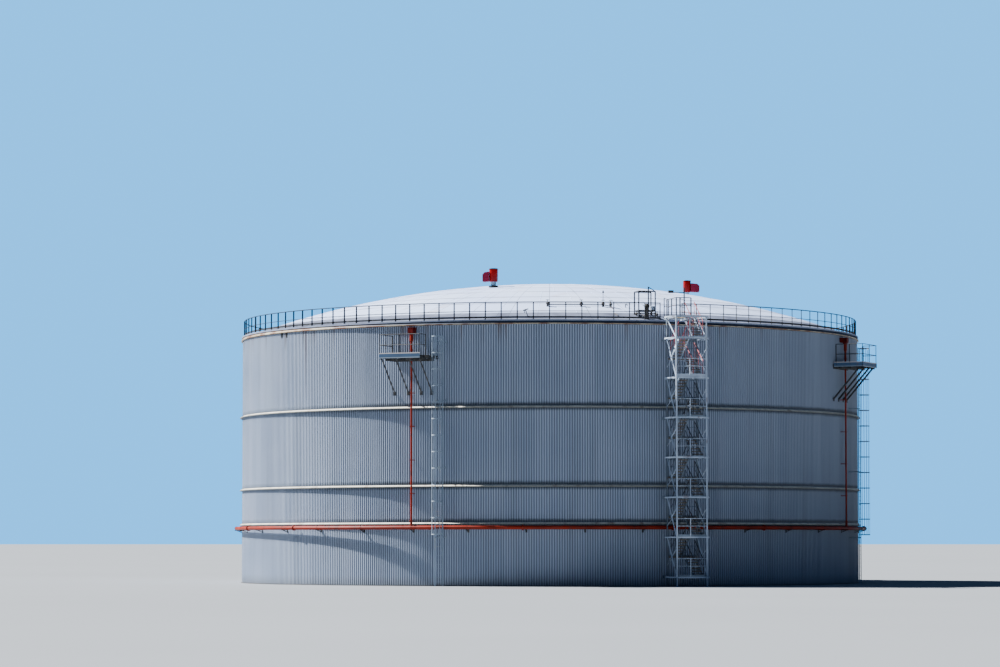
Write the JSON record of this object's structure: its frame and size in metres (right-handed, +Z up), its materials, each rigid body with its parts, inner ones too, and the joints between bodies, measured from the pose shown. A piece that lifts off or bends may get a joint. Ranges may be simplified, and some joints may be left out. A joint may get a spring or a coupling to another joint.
{
  "type": "vertical storage tank, 1:2 scale model",
  "caption": "Insulated steel storage tank at half scale: ribbed cladding with belts, plated dome roof with guardrail, lattice stair tower and foam stations with caged ladders.",
  "frame": {"origin": "on the tank's axis at the underside of the bottom plate", "axes": "+Z up along the tank's axis; -Y is the front as the picture sees it, and +X is to its right"},
  "size_m": [23.6478, 24.1807, 11.407],
  "materials": {
    "bare_steel": "rough, weathered",
    "cladding": "satin, weathered",
    "flashing": "satin, rust at edges",
    "roof_plate": "matt white paint",
    "railing": "satin",
    "stair_steel": "satin, weathered",
    "foam_pipe": "satin, faded",
    "vent_red": "gloss"
  },
  "bodies": {
    "root": {"bottom_plate": "bare_steel", "wall_segment_1": "cladding", "wall_segment_2": "cladding", "wall_segment_3": "cladding", "wall_segment_4": "cladding", "wall_segment_5": "cladding", "wall_segment_6": "cladding", "belt_lower": "flashing", "belt_middle": "flashing", "belt_upper": "flashing", "eaves_flashing": "flashing", "roof_sector_1": "roof_plate", "roof_sector_2": "roof_plate", "roof_sector_3": "roof_plate", "roof_sector_4": "roof_plate", "roof_sector_5": "roof_plate", "roof_sector_6": "roof_plate", "roof_crown": "roof_plate", "roof_guardrail_1": "railing", "roof_guardrail_2": "railing", "roof_guardrail_3": "railing", "roof_guardrail_4": "railing", "stair_tower_front": "stair_steel", "stair_tower_rear": "stair_steel", "stair_tower_left": "stair_steel", "stair_tower_right": "stair_steel", "stair_flight_1": "stair_steel", "stair_flight_2": "stair_steel", "stair_flight_3": "stair_steel", "stair_flight_4": "stair_steel", "stair_flight_5": "stair_steel", "stair_flight_6": "stair_steel", "stair_flight_top": "stair_steel", "foam_line_1": "foam_pipe", "foam_line_2": "foam_pipe", "foam_line_3": "foam_pipe", "foam_line_4": "foam_pipe", "foam_platform_1": "stair_steel", "foam_platform_2": "stair_steel", "foam_platform_3": "stair_steel", "foam_platform_4": "stair_steel", "caged_ladder_1": "railing", "caged_ladder_2": "railing", "caged_ladder_3": "railing", "caged_ladder_4": "railing", "roof_vent_left": "vent_red", "roof_vent_right": "vent_red", "gangway": "stair_steel", "roof_platform": "railing", "roof_pipe": "bare_steel"}
  },
  "joints": []
}
